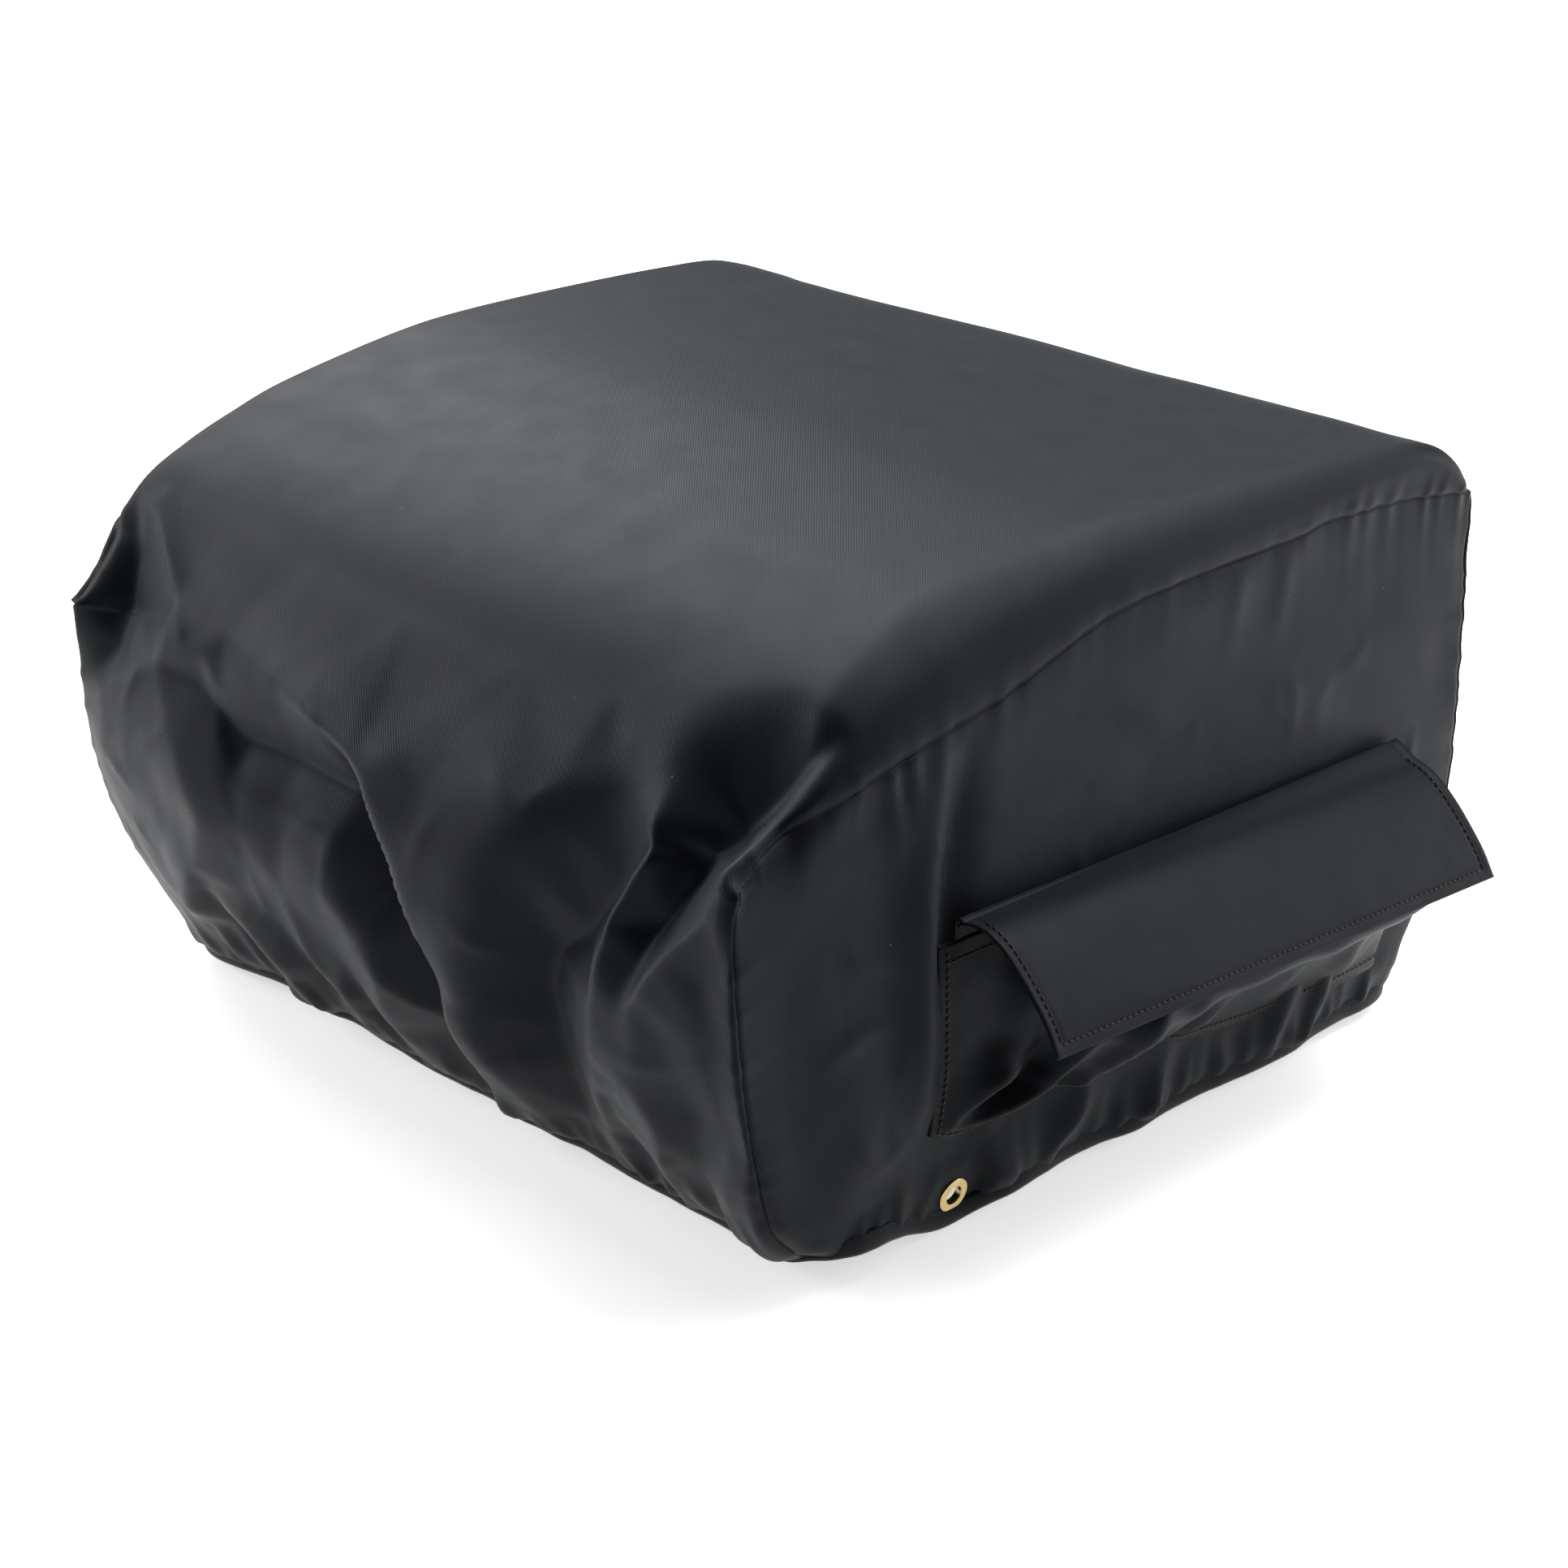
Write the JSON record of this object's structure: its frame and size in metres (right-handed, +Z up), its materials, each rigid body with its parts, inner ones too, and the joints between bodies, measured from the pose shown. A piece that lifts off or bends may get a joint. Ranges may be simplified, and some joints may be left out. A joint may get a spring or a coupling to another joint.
{
  "type": "grill cover",
  "caption": "Fitted fabric cover with an arched top, gathered elastic hem, open underside, side patch pocket under a hinged flap, and brass tie-down eyelets.",
  "frame": {"origin": "centre of the open mouth between the two side walls, in the plane that the elastic hem stands on", "axes": "+Z up, +X towards the side with the pocket, -Y towards the front, which slopes and is drawn in most at the hem"},
  "size_m": [0.6113, 0.528, 0.338],
  "materials": {
    "shell_cloth": "black coated polyester, fine diagonal weave, low satin sheen",
    "binding_tape": "black woven polyester tape",
    "elastic": "black woven elastic",
    "thread": "black bonded polyester thread",
    "eyelet_brass": "pressed and rolled, lightly polished"
  },
  "bodies": {
    "cover": {"main_panel": "shell_cloth", "left_side_panel": "shell_cloth", "right_side_panel": "shell_cloth", "left_seam_binding": "binding_tape", "right_seam_binding": "binding_tape", "hem_casing": "binding_tape", "hem_elastic": "elastic", "hem_stitching": "thread", "pocket_front": "shell_cloth", "pocket_mouth_hem": "shell_cloth", "pocket_stitching": "thread", "flap_root_fold": "shell_cloth", "flap_root_stitching": "thread", "grommet_right_eyelet": "eyelet_brass", "grommet_right_washer": "eyelet_brass", "grommet_left_eyelet": "eyelet_brass", "grommet_left_washer": "eyelet_brass"},
    "flap": {"pocket_flap": "shell_cloth", "flap_lining": "shell_cloth", "flap_stitching": "thread"}
  },
  "joints": [
    {"name": "flap_hinge", "type": "hinge", "parent": "cover", "child": "flap", "pos_m": [0.2795, 0.034, 0.176], "axis": [0, -1, 0], "range_deg": [0, 95]}
  ]
}
